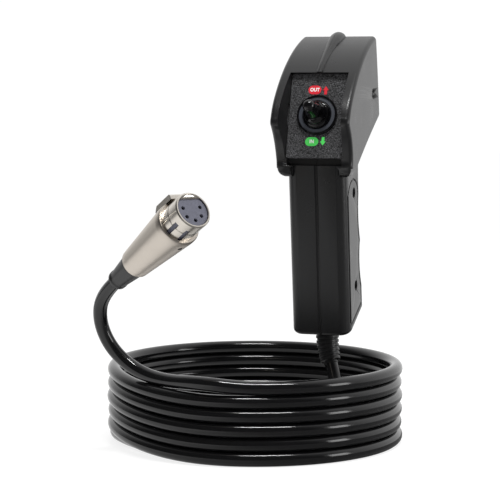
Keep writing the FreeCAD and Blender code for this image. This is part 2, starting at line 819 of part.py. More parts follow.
def cable_coil():
    half = cable / 2
    low = V(coil_radius, 0, coil_low)
    high = low + V(0, 0, (turns - 1) * turn_pitch)
    out, up = V(half, 0, 0), V(0, 0, half)
    section = Part.Wire([
        Part.Arc(low - out, low - up, low + out).toShape(),
        Part.makeLine(low + out, high + out),
        Part.Arc(high + out, high + up, high - out).toShape(),
        Part.makeLine(high - out, low - out),
    ])
    ring = Part.Face(section).revolve(V(0, 0, 0), V(0, 0, 1), 360)
    ring.translate(V(coil_x, coil_y, 0))
    return ring


def lead_wires():
    """Three cores side by side from the cable's end up the grip, each laid against its terminal's end."""
    behind = case_top() - case_deep - tab_reach - core / 2 - 0.1
    lean = math.radians(plate_lean)

    def spot(x, along):
        depth = plate_centre_depth - behind * math.cos(lean) + along * math.sin(lean)
        height = plate_centre_height + behind * math.sin(lean) + along * math.cos(lean)
        return x, depth, height

    jacket = cable_in_grip()
    wires = []
    for x, y in zip((-2.0, 0.0, 2.0), tab_places()):
        path = [
            (x, relief_depth, cable_end_height - 0.4),
            (x, 13.3, 25.2),
            (x, 11.0, 38.0),
            (x, 8.2, 52.0),
            (x, 7.2, 64.0),
            (x, 7.2, 76.0),
            spot(x, -tab_pitch - 5.0),
            spot(x, y + 1.2),
        ]
        spots = [(px, py, pz - grip_middle) for px, py, pz in path]
        wires.append(tube(spots, core / 2, "core").cut(jacket))
    return Part.makeCompound(wires)


# The plug, built along its own axis and laid where the cable leads

def ends():
    """Places along the plug's axis: end of the boot, of the shell and of the nose."""
    shell_start = boot_length
    shell_end = shell_start + shell_length
    return shell_start, shell_end, shell_end + nose_length


def plug_boot():
    start, shell_end, nose_end = ends()
    bore = cable / 2 + relief_fit
    spigot = shell_rear_radius - shell_wall - 0.05
    profile = [(bore, 0), (boot_rear_radius - 0.6, 0), (boot_rear_radius, 0.7)]
    profile += [(boot_rear_radius + 0.1, 2.2), (boot_rear_radius - 0.15, 2.8)]
    profile += [(boot_front_radius, start - 1.0), (boot_front_radius, start), (spigot, start)]
    profile += [(spigot, start + 5), (bore, start + 5)]
    return turned(profile)


def plug_shell():
    start, end, nose_end = ends()
    rear, front = shell_rear_radius, shell_front_radius
    rear_bore, front_bore = rear - shell_wall, nose_radius + 0.03
    edges = [
        Part.makeLine(V(rear_bore, 0, start), V(rear - 0.4, 0, start)),
        Part.makeLine(V(rear - 0.4, 0, start), V(rear, 0, start + 0.4)),
        Part.makeLine(V(rear, 0, start + 0.4), V(front - 0.1, 0, end - 4)),
        Part.makeLine(V(front - 0.1, 0, end - 4), V(front, 0, end - 3)),
        Part.makeLine(V(front, 0, end - 3), V(front, 0, end - 0.6)),
        Part.makeLine(V(front, 0, end - 0.6), V(front - 0.5, 0, end)),
        Part.makeLine(V(front - 0.5, 0, end), V(front_bore, 0, end)),
        Part.makeLine(V(front_bore, 0, end), V(front_bore, 0, end - 13)),
        Part.makeLine(V(front_bore, 0, end - 13), V(rear_bore, 0, start + 9)),
        Part.makeLine(V(rear_bore, 0, start + 9), V(rear_bore, 0, start)),
    ]
    shell = Part.Face(Part.Wire(edges)).revolve(V(0, 0, 0), V(0, 0, 1), 360)
    slot = block((-latch_width / 2 - 0.2, 5, end - 10.2), (latch_width / 2 + 0.2, 20, end + 1))
    hinge = rod(0.65, 9.0, V(-4.5, latch_pin_height(), end - 7.5), V(1, 0, 0))
    screw = rod(1.05, 12, V(0, -4, end - 5), V(0, -1, 0))
    return shell.cut([slot, hinge, screw])


def latch_pin_height():
    return nose_radius + 0.75


def nose_windows():
    """For the latch's stalk and its hook, two long slots and a fine guide groove."""
    start, end, nose_end = ends()
    windows = [block((-2.2, 4, end - 5.2), (2.2, 12, end - 1.6)),
               block((-2.2, 4, nose_end - 9.4), (2.2, 12, nose_end - 5.6))]
    for angle in slot_angles:
        slot = block((nose_radius - nose_wall - 0.3, -slot_wide / 2, end - 1),
                     (12, slot_wide / 2, end + slot_long))
        slot.rotate(V(0, 0, 0), V(0, 0, 1), angle)
        windows.append(slot)
    guide = block((nose_radius - guide_deep, -guide_wide / 2, end - 1), (12, guide_wide / 2, nose_end - 1.5))
    guide.rotate(V(0, 0, 0), V(0, 0, 1), guide_angle)
    return windows + [guide]


def plug_nose():
    start, end, nose_end = ends()
    inner = nose_radius - nose_wall
    nose = turned([
        (inner, end - 10), (nose_radius, end - 10), (nose_radius, end + 5.0), (nose_radius - 0.25, end + 5.2),
        (nose_radius - 0.25, end + 5.7), (nose_radius, end + 5.9), (nose_radius, nose_end - 0.6),
        (nose_radius - 0.4, nose_end), (inner, nose_end)])
    key = rod(inner + 0.1, lip_depth, V(0, 0, nose_end - 0.3 - lip_depth), V(0, 0, 1))
    key = key.cut(block((-12, -12, end), (12, insert_flat + 0.05, nose_end + 1)))
    return nose.cut(nose_windows()).fuse(key).removeSplitter()


def socket_places():
    angles = [math.radians(-90 + socket_step * (k - (socket_count - 1) / 2)) for k in range(socket_count)]
    return [(socket_circle * math.cos(a), socket_circle * math.sin(a)) for a in angles]


def contact_insert():
    """Moulded insert with a flat side under the latch and a stepped hole for each contact."""
    start, end, nose_end = ends()
    radius = nose_radius - nose_wall - 0.05
    face = nose_end - insert_setback
    body = rod(radius, face - end + insert_tail, V(0, 0, end - insert_tail), V(0, 0, 1))
    edge = [e for e in body.Edges if e.BoundBox.ZMin > face - 0.01]
    body = body.makeChamfer(0.3, edge)
    flat = block((-12, insert_flat, end - insert_tail - 1), (12, 12, face + 1))
    holes = []
    for x, y in socket_places():
        holes.append(rod(socket_bore, 40, V(x, y, face - 20), V(0, 0, 1)))
        holes.append(rod(socket_outer + 0.03, face - socket_setback - end + 14, V(x, y, end - 14), V(0, 0, 1)))
    return body.cut([flat] + holes)


def plug_contacts():
    start, end, nose_end = ends()
    mouth = nose_end - insert_setback - socket_setback
    contacts = []
    for x, y in socket_places():
        socket = rod(socket_outer, mouth - end + insert_tail, V(x, y, end - insert_tail), V(0, 0, 1))
        cup = rod(socket_outer - 0.4, cup_length, V(x, y, end - insert_tail - cup_length), V(0, 0, 1))
        bore = rod(socket_bore, socket_depth, V(x, y, mouth - socket_depth), V(0, 0, 1))
        contacts.append(socket.fuse(cup).cut(bore))
    return Part.makeCompound(contacts)


def latch_lever():
    start, end, nose_end = ends()
    pin_y = latch_pin_height()
    half = latch_width / 2
    button = block((-half, pin_y - 0.35, end - 9.6), (half, shell_front_radius + latch_stand, end + 4.0))
    under = block((-9, 0, end - 5.6), (9, nose_radius + 1.35, end + 9))
    button = button.cut(under)
    front_edges = [e for e in button.Edges
                   if e.BoundBox.ZMin > end + 3.9 and e.BoundBox.YMin > shell_front_radius]
    button = button.makeChamfer(0.9, front_edges)
    rear_edges = [e for e in button.Edges
                  if e.BoundBox.ZMax < end - 9.5 and e.BoundBox.YMin > shell_front_radius + 1]
    button = button.makeChamfer(latch_stand - 0.4, rear_edges)
    inner = nose_radius - nose_wall
    arm_low, arm_high = inner - 1.1, inner - 0.3
    stalk = block((-1.8, arm_low, end - 4.4), (1.8, nose_radius + 2.0, end - 2.6))
    arm = block((-1.8, arm_low, end - 4.4), (1.8, arm_high, nose_end - 6.2))
    hook = block((-1.8, arm_low, nose_end - 8.6), (1.8, nose_radius + 0.7, nose_end - 6.2))
    slope = [e for e in hook.Edges if e.BoundBox.ZMin > nose_end - 6.3 and e.BoundBox.YMin > nose_radius]
    hook = hook.makeChamfer(1.1, slope)
    hole = rod(0.6 + 0.05, 20, V(-10, pin_y, end - 7.5), V(1, 0, 0))
    return button.fuse([stalk, arm, hook]).removeSplitter().cut(hole)


def latch_pin():
    start, end, nose_end = ends()
    return rod(0.6, 8.6, V(-4.3, latch_pin_height(), end - 7.5), V(1, 0, 0))


def latch_spring():
    start, end, nose_end = ends()
    low = nose_radius + 0.06
    a, b, c = V(-1.0, low, end - 1.3), V(-1.0, low + 0.35, end + 0.2), V(-1.0, low, end + 1.7)
    lift = V(0, 0.15, 0)
    edges = [Part.Arc(a, b, c).toShape(), Part.makeLine(c, c + lift),
             Part.Arc(c + lift, b + lift, a + lift).toShape(), Part.makeLine(a + lift, a)]
    return Part.Face(Part.Wire(edges)).extrude(V(2.0, 0, 0))


def set_screw():
    start, end, nose_end = ends()
    body = rod(1.0, shell_front_radius - nose_radius - 0.25, V(0, -nose_radius - 0.1, end - 5), V(0, -1, 0))
    slot = block((-2, -20, end - 5.15), (2, -shell_front_radius + 0.5, end - 4.85))
    return body.cut(slot)


def plug_chuck():
    start, end, nose_end = ends()
    bore = cable / 2 + 0.05
    ring = turned([
        (bore, start + 5.3), (shell_rear_radius - shell_wall - 0.1, start + 5.3),
        (shell_rear_radius - shell_wall - 0.1, start + 8.6), (bore + 1.3, start + 16), (bore, start + 16)])
    slots = []
    for k in range(3):
        slot = block((-0.5, 0, start + 8), (0.5, 12, start + 20))
        slot.rotate(V(0, 0, 0), V(0, 0, 1), 120 * k + 30)
        slots.append(slot)
    return ring.cut(slots)


def plug_cable_end():
    start, end, nose_end = ends()
    return end - insert_tail - cup_length - core_run


def cable_in_plug():
    return rod(cable / 2, plug_cable_end(), V(0, 0, 0), V(0, 0, 1))


def plug_cores():
    """Three cores from the cable's end to the contacts in use."""
    start, end, nose_end = ends()
    low, high = plug_cable_end(), end - insert_tail - cup_length
    cores = []
    for x, y in socket_places()[::2]:
        a = V(x * 0.45, y * 0.45, low)
        b = V(x, y, high)
        reach = b - a
        longer = Part.makeCylinder(core / 2, reach.Length * 1.6, a - reach * 0.3, reach)
        cores.append(longer.common(block((-20, -20, low), (20, 20, high))))
    return Part.makeCompound(cores)


# Everything, one file each

shell = housing()
save("right_housing", right_housing(shell))
save("left_housing", left_housing(shell))
save("housing_screws", housing_screws())
for piece in (switch_plate, boot_ring, boot_base, boot_tip, toggle_lever, lever_pin, switch_bushing,
              bushing_nut, lock_washer, switch_frame, switch_case, plunger, plunger_spring,
              contact_rocker, switch_terminals):
    save(piece.__name__, on_plate(piece()))
for piece in (strain_relief, cable_in_grip, cable_clamp, clamp_screws, lead_wires):
    save(piece.__name__, piece())
for piece in (plug_boot, plug_shell, plug_nose, contact_insert, plug_contacts, latch_lever,
              latch_pin, latch_spring, set_screw, plug_chuck, cable_in_plug, plug_cores):
    save(piece.__name__, along_plug(piece()))
save("cable_coil", cable_coil())
save("handset_lead", tube(handset_route, cable / 2, "handset lead"))
save("plug_lead", tube(plug_route, cable / 2, "plug lead"))
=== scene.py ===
import bmesh
import bpy
import math
from mathutils import Matrix, Vector


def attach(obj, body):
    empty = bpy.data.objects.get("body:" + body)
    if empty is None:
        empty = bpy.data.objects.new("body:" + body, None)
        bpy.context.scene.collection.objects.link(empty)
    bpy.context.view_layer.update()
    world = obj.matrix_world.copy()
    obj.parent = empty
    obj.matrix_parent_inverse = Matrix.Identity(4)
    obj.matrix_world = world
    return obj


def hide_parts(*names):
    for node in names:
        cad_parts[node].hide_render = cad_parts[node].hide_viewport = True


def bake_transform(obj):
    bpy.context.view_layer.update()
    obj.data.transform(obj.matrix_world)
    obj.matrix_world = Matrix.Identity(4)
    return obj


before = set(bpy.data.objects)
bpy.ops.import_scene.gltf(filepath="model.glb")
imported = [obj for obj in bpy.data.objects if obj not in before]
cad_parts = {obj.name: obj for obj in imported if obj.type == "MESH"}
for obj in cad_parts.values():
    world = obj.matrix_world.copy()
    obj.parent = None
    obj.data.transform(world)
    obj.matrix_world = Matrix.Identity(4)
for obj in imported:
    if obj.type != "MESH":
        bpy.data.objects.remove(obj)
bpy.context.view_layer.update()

mm = 0.001


# node graphs

class Wire:
    # a node's output that can stand in a sum
    def __init__(self, graph, socket):
        self.graph = graph
        self.socket = socket

    def __add__(self, other):
        return self.graph.maths("ADD", self, other)

    def __sub__(self, other):
        return self.graph.maths("SUBTRACT", self, other)

    def __rsub__(self, other):
        return self.graph.maths("SUBTRACT", other, self)

    def __mul__(self, other):
        return self.graph.maths("MULTIPLY", self, other)

    def __truediv__(self, other):
        return self.graph.maths("DIVIDE", self, other)

    __radd__ = __add__


class Graph:
    def __init__(self, tree):
        self.tree = tree

    def add(self, kind, values=None, settings=None, output=0):
        node = self.tree.nodes.new(kind)
        for key, value in (settings or {}).items():
            setattr(node, key, value)
        pairs = values.items() if isinstance(values, dict) else enumerate(values or [])
        for key, value in pairs:
            if isinstance(value, Wire):
                self.tree.links.new(value.socket, node.inputs[key])
            else:
                node.inputs[key].default_value = value
        return Wire(self, node.outputs[output]) if node.outputs else None

    def out(self, wire, output):
        return Wire(self, wire.socket.node.outputs[output])

    def maths(self, operation, *values):
        return self.add("ShaderNodeMath", values, {"operation": operation})

    def vector(self, x, y, z):
        return self.add("ShaderNodeCombineXYZ", [x, y, z])

    def blend(self, factor, first, second):
        # 6, 7 and 2 are the colour sockets of a Mix node
        return self.add("ShaderNodeMix", {0: factor, 6: first, 7: second}, {"data_type": "RGBA"}, 2)

    def noise(self, place, scale, detail=3.0, rough=0.55, output=0):
        values = {"Vector": place, "Scale": scale, "Detail": detail, "Roughness": rough}
        return self.add("ShaderNodeTexNoise", values, None, output)

    def fade(self, wire, low, high, least=0.0):
        # smooth step from least to 1 while the wire goes from low to high
        values = {0: wire, 1: low, 2: high, 3: least, 4: 1.0}
        return self.add("ShaderNodeMapRange", values, {"interpolation_type": "SMOOTHSTEP"})

    def ramp(self, wire, *stops):
        # two stops, each a position and its grey
        ramp = self.add("ShaderNodeValToRGB", [wire])
        for element, (position, grey) in zip(ramp.socket.node.color_ramp.elements, stops):
            element.position = position
            element.color = (grey, grey, grey, 1)
        return ramp

    def bump(self, height, strength, distance):
        return self.add("ShaderNodeBump", {"Strength": strength, "Distance": distance, "Height": height})

    def join(self, *parts):
        joined = self.add("GeometryNodeJoinGeometry")
        for part in parts:
            self.tree.links.new(part.socket, joined.socket.node.inputs[0])
        return joined


# finishes

def rgb(red, green, blue):
    # colour as it looks on screen, 0 to 255, to the linear value of a shader
    def linear(level):
        share = level / 255
        return share / 12.92 if share <= 0.04045 else ((share + 0.055) / 1.055) ** 2.4
    return (linear(red), linear(green), linear(blue), 1)


def newMaterial(name, recipe, metallic=0.0):
    material = bpy.data.materials.new(name)
    material.use_nodes = True
    tree = material.node_tree
    shader = tree.nodes["Principled BSDF"]
    shader.inputs["Metallic"].default_value = metallic
    graph = Graph(tree)
    place = graph.add("ShaderNodeTexCoord", output="Object")
    for key, wire in recipe(graph, place).items():
        tree.links.new(wire.socket, shader.inputs[key])
    return material


def mouldedPlastic(dark, light, speck, roughness, grain):
    # black injection moulding: fine sparked skin, slow gloss changes, faint rubbed patches
    def recipe(graph, place):
        slow = graph.noise(place, 28.0, 2.0)
        fine = graph.noise(place, speck, 2.0, 0.6)
        rub = graph.ramp(graph.noise(place, 95.0, 5.0, 0.7), (0.55, 0.0), (0.75, 1.0))
        grains = graph.noise(place, 1.0 / grain, 3.0, 0.65)
        return {
            "Base Color": graph.blend(slow * 0.55 + fine * 0.35, dark, light),
            "Roughness": roughness + slow * 0.08 - rub * 0.05 + fine * 0.06,
            "Normal": graph.bump(grains + fine * 0.4, 0.22, 0.06 * mm),
        }
    return recipe


def leatherGrain(dark, light, cell):
    # pebbled grain: rounded cells of two sizes with shiny tops; the cell tops and fine flecks are painted
    # lighter, painted highlights on the grain
    def recipe(graph, place):
        sway = {0: graph.noise(place, 900.0, 2.0, 0.5, "Color"), "Scale": 0.6 * mm}
        shift = graph.add("ShaderNodeVectorMath", sway, {"operation": "SCALE"})
        bent = graph.add("ShaderNodeVectorMath", [place, shift], {"operation": "ADD"})
        large, small = (
            graph.add("ShaderNodeTexVoronoi", {"Vector": bent, "Scale": count / cell}, {"feature": feature})
            for count, feature in ((1.0, "SMOOTH_F1"), (2.3, "F1")))
        tops = graph.ramp(large, (0.1, 1.0), (0.62, 0.0))
        # fine flecks: painted glints in the colour, and small bumps in the relief
        glintFleck = graph.ramp(graph.noise(place, 2600.0, 1.0, 0.8), (0.56, 0.0), (0.7, 1.0))
        return {
            # painted highlights: the cell tops and the flecks are lighter in the colour
            "Base Color": graph.blend(tops * 0.45 + glintFleck * 0.55, dark, light),
            "Roughness": 0.62 - tops * 0.2,
            "Normal": graph.bump(tops * 0.7 + (1.0 - small) * 0.3 + glintFleck * 0.25, 0.75, 0.22 * mm),
        }
    return recipe


def smoothRubber(dark, light, roughness, haze):
    # soft rubber with a haze of dust
    def recipe(graph, place):
        slow = graph.noise(place, 60.0, 3.0)
        dust = graph.ramp(graph.noise(place, 1500.0, 2.0, 0.7), (0.6, 0.0), (0.78, 1.0))
        return {
            "Base Color": graph.blend(slow * 0.6 + dust * haze, dark, light),
            "Roughness": roughness + slow * 0.06 + dust * haze * 0.3,
            "Normal": graph.bump(graph.noise(place, 700.0, 3.0), 0.08, 0.05 * mm),
        }
    return recipe


def cableJacket(dark, light):
    # extruded jacket: soft waves in the gloss, a few scuffs
    def recipe(graph, place):
        slow = graph.noise(place, 45.0, 3.0)
        scuff = graph.ramp(graph.noise(place, 620.0, 4.0, 0.75), (0.62, 0.0), (0.8, 1.0))
        return {
            "Base Color": graph.blend(slow * 0.5 + scuff * 0.3, dark, light),
            "Roughness": 0.09 + slow * 0.08 + scuff * 0.12,
            "Normal": graph.bump(graph.noise(place, 260.0, 3.0) + slow, 0.06, 0.2 * mm),
        }
    return recipe


def satinMetal(dark, light, roughness, across):
    # turned and plated: fine rings round the axis "across", cloudy plating
    def recipe(graph, place):
        run = graph.add("ShaderNodeVectorMath", [place, across], {"operation": "DOT_PRODUCT"}, "Value")
        rings = graph.add("ShaderNodeTexNoise",
                          {"W": run * 2600.0, "Scale": 1.0, "Detail": 3.0, "Roughness": 0.7},
                          {"noise_dimensions": "1D"})
        cloud = graph.noise(place, 110.0, 3.0)
        pits = graph.ramp(graph.noise(place, 2300.0, 2.0, 0.8), (0.66, 0.0), (0.8, 1.0))
        return {
            "Base Color": graph.blend(cloud * 0.5 + rings * 0.4, dark, light),
            "Roughness": roughness + rings * 0.1 + cloud * 0.05 + pits * 0.08,
            "Normal": graph.bump(rings * 0.8 - pits * 0.5, 0.05, 0.04 * mm),
        }
    return recipe


def paint(dark, light, roughness, scale, strength=0.1):
    # plain colour with slow changes and a fine skin
    def recipe(graph, place):
        slow = graph.noise(place, scale, 3.0)
        fine = graph.noise(place, scale * 6.0, 2.0)
        return {
            "Base Color": graph.blend(slow, dark, light),
            "Roughness": roughness + fine * 0.08,
            "Normal": graph.bump(fine + slow * 0.5, strength, 0.04 * mm),
        }
    return recipe


# where the plate and the plug lie, as in the CAD

plate = {"lean": 17, "centre": (0, -12.0, 66.0)}
plug = {"heading": -36.3, "lift": 30.3, "start": (-74.7, -82.0, -7.7), "contactFace": 68.0}


def placeMatrix(x, y, z, start):
    # three directions and a start in mm
    turned = Matrix((x, y, z)).transposed().to_4x4()
    return Matrix.Translation(Vector(start) * mm) @ turned


plateLean = math.radians(plate["lean"])
plateNormal = Vector((0, -math.cos(plateLean), math.sin(plateLean)))
plateUp = Vector((0, math.sin(plateLean), math.cos(plateLean)))
platePlace = placeMatrix(Vector((1, 0, 0)), plateUp, plateNormal, plate["centre"])

heading, lift = math.radians(plug["heading"]), math.radians(plug["lift"])
plugAxis = Vector((math.cos(lift) * math.cos(heading), math.cos(lift) * math.sin(heading), math.sin(lift)))
plugSide = Vector((-math.sin(heading), math.cos(heading), 0.0))
plugPlace = placeMatrix(plugSide, plugAxis.cross(plugSide), plugAxis, plug["start"])

alongPlug, alongSwitch, alongScrew = tuple(plugAxis), tuple(plateNormal), (1, 0, 0)
finishes = {
    "housing": newMaterial("blackMouldedPlastic",
                           mouldedPlastic(rgb(15, 15, 16), rgb(27, 27, 28), 1100.0, 0.24, 0.35 * mm)),
    # the plate's light grey is the painted highlight on the grain tops and flecks
    "plate": newMaterial("pebbledPlate", leatherGrain(rgb(14, 14, 15), rgb(108, 108, 111), 0.6 * mm)),
    "ring": newMaterial("slateRing",
                        mouldedPlastic(rgb(54, 57, 64), rgb(72, 76, 84), 1500.0, 0.3, 0.3 * mm)),
    "rim": newMaterial("glossBlackRim",
                       mouldedPlastic(rgb(9, 9, 10), rgb(18, 18, 20), 1500.0, 0.1, 0.3 * mm)),
    "boot": newMaterial("glossBlackRubber", smoothRubber(rgb(5, 5, 6), rgb(11, 11, 12), 0.07, 0.06)),
    "rubber": newMaterial("dullBlackRubber", smoothRubber(rgb(16, 16, 17), rgb(30, 30, 31), 0.34, 0.3)),
    "cable": newMaterial("glossCableJacket", cableJacket(rgb(9, 9, 10), rgb(19, 19, 20))),
    "nickel": newMaterial("satinNickel",
                          satinMetal(rgb(196, 187, 176), rgb(222, 214, 204), 0.3, alongPlug), 1.0),
    "brightNickel": newMaterial("brightNickel",
                                satinMetal(rgb(205, 198, 188), rgb(232, 226, 217), 0.17, alongPlug), 1.0),
    "steel": newMaterial("zincPlatedSteel",
                         satinMetal(rgb(150, 150, 152), rgb(196, 196, 198), 0.3, alongSwitch), 1.0),
    # the screws are painted near black, painted shade so their holes read dark
    "screw": newMaterial("paintedShadeScrew",
                         satinMetal(rgb(10, 10, 11), rgb(20, 20, 22), 0.5, alongScrew), 0.2),
    "brass": newMaterial("stampedBrass",
                         satinMetal(rgb(196, 160, 88), rgb(222, 190, 118), 0.26, alongScrew), 1.0),
    "phenolic": newMaterial("brownPhenolic", paint(rgb(66, 38, 24), rgb(92, 56, 36), 0.38, 420.0, 0.2)),
    "nylon": newMaterial("naturalNylon", paint(rgb(206, 203, 190), rgb(228, 226, 214), 0.42, 300.0)),
    "insert": newMaterial("greyInsert", paint(rgb(76, 77, 88), rgb(98, 99, 112), 0.42, 700.0, 0.15)),
    # near black: painted shade in the plug's contact holes, on the contact tubes
    "dark": newMaterial("paintedHoleShade", paint(rgb(6, 6, 7), rgb(14, 14, 15), 0.7, 900.0)),
    "core": newMaterial("redCore", paint(rgb(150, 26, 30), rgb(184, 44, 44), 0.3, 250.0)),
    "redInk": newMaterial("redInk", paint(rgb(208, 18, 38), rgb(228, 32, 52), 0.36, 1400.0, 0.12)),
    "greenInk": newMaterial("greenInk", paint(rgb(62, 204, 78), rgb(86, 224, 102), 0.36, 1400.0, 0.12)),
    "whiteInk": newMaterial("whiteInk", paint(rgb(232, 232, 230), rgb(250, 250, 248), 0.4, 1400.0, 0.12)),
}
print("finishes:", len(finishes))


# mesh helpers

def addObject(name, data, material=None):
    piece = bpy.data.objects.new(name, data)
    bpy.context.scene.collection.objects.link(piece)
    if material:
        data.materials.clear()
        data.materials.append(material)
    return piece


def bakedMesh(piece):
    # the piece's shape with its modifiers, as a plain mesh
    return bpy.data.meshes.new_from_object(piece.evaluated_get(bpy.context.evaluated_depsgraph_get()))


def smoothMesh(name, shape, sharpAngle):
    mesh = bpy.data.meshes.new(name)
    shape.to_mesh(mesh)
    shape.free()
    for face in mesh.polygons:
        face.use_smooth = True
    mesh.set_sharp_from_angle(angle=math.radians(sharpAngle))
    return mesh


def fromBmesh(name, shape, material, sharpAngle):
    bmesh.ops.recalc_face_normals(shape, faces=shape.faces)
    return addObject(name, smoothMesh(name, shape, sharpAngle), material)


def skin(node, body, finish):
    # a smooth-shaded copy of a CAD node, its corners merged, in place of the node
    shape = bmesh.new()
    shape.from_mesh(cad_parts[node].data)
    bmesh.ops.remove_doubles(shape, verts=shape.verts, dist=1e-6)
    piece = addObject(node + "_skin", smoothMesh(node + "_skin", shape, 24), finishes[finish])
    flatter = piece.modifiers.new("flatter", "WEIGHTED_NORMAL")  # the large flat faces stay flat
    flatter.keep_sharp = True
    flatter.weight = 100
    piece.data = bakedMesh(piece)
    piece.modifiers.clear()
    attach(piece, body)
    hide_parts(node)


def circlePoints(radius, steps):
    turns = [2 * math.pi * k / steps for k in range(steps)]
    return [(radius * math.cos(turn), radius * math.sin(turn)) for turn in turns]


def bridge(shape, low, high):
    # faces between two rings of points, either of which may be a single point
    if len(low) == 1 and len(high) == 1:
        return
    count = max(len(low), len(high))
    for k in range(count):
        after = (k + 1) % count
        if len(low) == 1:
            shape.faces.new((low[0], high[after], high[k]))
        elif len(high) == 1:
            shape.faces.new((low[k], low[after], high[0]))
        else:
            shape.faces.new((low[k], low[after], high[after], high[k]))


def lathe(name, profile, place, material, steps, sharpAngle):
    # profile is (radius, height) pairs in mm; place is the matrix of its axis
    shape = bmesh.new()
    rings = []
    for radius, height in profile:
        around = circlePoints(radius * mm, steps) if radius > 1e-6 else [(0, 0)]
        rings.append([shape.verts.new(place @ Vector((x, y, height * mm))) for x, y in around])
    for low, high in zip(rings, rings[1:]):
        bridge(shape, low, high)
    if len(rings[0]) > 1 and len(rings[-1]) > 1:  # an open section is closed into a ring
        bridge(shape, rings[-1], rings[0])
    return fromBmesh(name, shape, material, sharpAngle)


def between(a, b, c, d, t):
    # Catmull-Rom value between b and c
    square, cube = 2 * a - 5 * b + 4 * c - d, 3 * b - a - 3 * c + d
    return 0.5 * (2 * b + (c - a) * t + square * t ** 2 + cube * t ** 3)


def smoothRun(points, steps):
    # a smooth curve through a listed section
    run = []
    for k in range(len(points) - 1):
        near = [points[min(max(k + n, 0), len(points) - 1)] for n in (-1, 0, 1, 2)]
        for step in range(steps):
            run.append(tuple(between(*values, step / steps) for values in zip(*near)))
    return run + [points[-1]]


# geometry node helpers

def nodeTree(name, inputs):
    tree = bpy.data.node_groups.new(name, "GeometryNodeTree")
    tree.interface.new_socket(name="Geometry", in_out="INPUT", socket_type="NodeSocketGeometry")
    for label, kind in inputs.items():
        tree.interface.new_socket(name=label, in_out="INPUT", socket_type="NodeSocket" + kind)
    tree.interface.new_socket(name="Geometry", in_out="OUTPUT", socket_type="NodeSocketGeometry")
    graph = Graph(tree)
    source = tree.nodes.new("NodeGroupInput")
    return graph, {socket.name: Wire(graph, socket) for socket in source.outputs if socket.name}


def finishTree(graph, parts, material):
    real = graph.add("GeometryNodeRealizeInstances", [graph.join(*parts)])
    smooth = graph.add("GeometryNodeSetShadeSmooth", [real])
    painted = graph.add("GeometryNodeSetMaterial", {"Geometry": smooth, "Material": material})
    graph.add("NodeGroupOutput", [painted])
    return graph.tree


def growPiece(name, tree, values, base=None):
    # runs the tree on a host object and keeps the result as a plain mesh
    host = addObject(name + "_host", base or bpy.data.meshes.new(name + "_host"))
    modifier = host.modifiers.new(name, "NODES")
    modifier.node_group = tree
    keys = {item.name: item.identifier for item in tree.interface.items_tree if item.in_out == "INPUT"}
    for label, value in values.items():
        modifier[keys[label]] = value
    mesh = bakedMesh(host)
    bpy.data.objects.remove(host)
    return addObject(name, mesh)


# camera

cameraFacts = {"place": (0.232162, -0.880105, 0.080873), "aim": (-0.03376, -0.01032, 0.0013), "lens": 136.8}
cameraData = bpy.data.cameras.new("photoCamera")
cameraData.lens = cameraFacts["lens"]
cameraData.sensor_width = 36
cameraData.clip_start = 0.01
camera = addObject("photoCamera", cameraData)
camera.location = cameraFacts["place"]
sight = Vector(cameraFacts["aim"]) - camera.location
camera.rotation_euler = sight.to_track_quat("-Z", "Y").to_euler()
bpy.context.scene.camera = camera


# the cable, one line from the grip through six turns to the plug

cable = {"diameter": 6.5, "length": 2.76, "turns": 6, "coilCentre": (-31.5, -9.6), "coilLow": -87.3,
         "coilRadius": 67.7, "pitch": 6.45, "risesFrom": 15, "risesTo": 95, "pointsPerTurn": 24, "front": 17,
         "firstAngle": 102.8, "lastAngle": 2151.0, "points": 137, "wander": 0.25, "wanderRate": 0.37}
handsetRoute = [
    (2.7, 5.3, -54.5), (6.7, 1.3, -65.1), (11.8, -7.2, -75.0), (16.2, -22.6, -83.2), (13.3, -46.1, -87.3),
    (-4.4, -65.1, -87.3), (-36.1, -69.6, -87.3), (-69.9, -57.3, -87.3), (-95.4, -31.8, -87.3)]
plugRoute = [
    (-18.6, -76.1, -55.0), (-35.3, -78.9, -53.1), (-59.3, -68.1, -54.6), (-74.4, -64.4, -49.9),
    (-84.8, -65.4, -40.1), (-88.6, -69.2, -27.0), (-84.5, -74.8, -14.8), (-74.7, -82.0, -7.7)]


def coilPoint(angle):
    # angle in degrees, clockwise seen from above, 0 toward the camera; each turn climbs at its front left
    level = 0.0
    for turn in range(1, cable["turns"]):
        share = (angle - 360 * turn - cable["risesFrom"]) / (cable["risesTo"] - cable["risesFrom"])
        share = min(max(share, 0.0), 1.0)
        level += share * share * (3 - 2 * share)
    step = math.pi / cable["pointsPerTurn"]
    turned = math.radians(angle)
    radius = cable["coilRadius"] / math.cos(step) + cable["wander"] * math.sin(turned * cable["wanderRate"])
    front = math.radians(cable["front"])
    right = Vector((math.cos(front), math.sin(front)))
    away = Vector((-math.sin(front), math.cos(front)))
    flat = Vector(cable["coilCentre"]) + radius * (-math.cos(turned) * away - math.sin(turned) * right)
    return (flat.x, flat.y, cable["coilLow"] + level * cable["pitch"])


def makeCable():
    step = (cable["lastAngle"] - cable["firstAngle"]) / (cable["points"] - 1)
    coil = [coilPoint(cable["firstAngle"] + step * k) for k in range(cable["points"])]
    points = handsetRoute + coil + plugRoute
    curve = bpy.data.curves.new("cable", "CURVE")
    curve.dimensions = "3D"
    spline = curve.splines.new("NURBS")
    spline.points.add(len(points) - 1)
    for knot, point in zip(spline.points, points):
        knot.co = (*[value * mm for value in point], 1)
    spline.order_u = 3
    spline.use_endpoint_u = True
    spline.resolution_u = 8
    curve.bevel_depth = cable["diameter"] * mm / 2
    curve.bevel_resolution = 8
    curve.use_fill_caps = True
    return addObject("cable", curve, finishes["cable"])


# the strain relief, a banded rubber sleeve grown along its path

